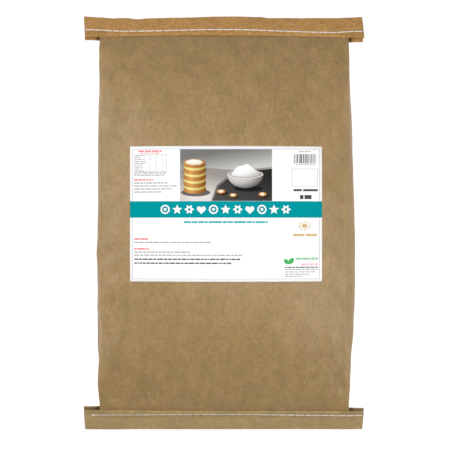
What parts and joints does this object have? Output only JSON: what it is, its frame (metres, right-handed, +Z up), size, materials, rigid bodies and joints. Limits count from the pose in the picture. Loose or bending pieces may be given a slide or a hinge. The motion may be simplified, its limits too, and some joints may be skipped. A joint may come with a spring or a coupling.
{
  "type": "bag of sugar",
  "caption": "Shut kraft paper sack of icing sugar lying on its back, with a label on its front and both ends closed by folded, sewn paper tape.",
  "frame": {"origin": "centre of the part's footprint, on the surface that it lies on", "axes": "+X across the sack, +Y along it towards its top tape, +Z up and out of its front panel"},
  "size_m": [0.3153, 0.4608, 0.0906],
  "materials": {
    "kraft_paper": "matt brown sack paper",
    "label_paper": "smooth white printed paper",
    "top_tape_paper": "matt orange-tan tape",
    "bottom_tape_paper": "matt brown tape",
    "cotton_thread": "matt twisted thread"
  },
  "bodies": {
    "root": {"sack": "kraft_paper", "label": "label_paper", "top_tape": "top_tape_paper", "bottom_tape": "bottom_tape_paper", "top_thread": "cotton_thread", "bottom_thread": "cotton_thread"}
  },
  "joints": []
}
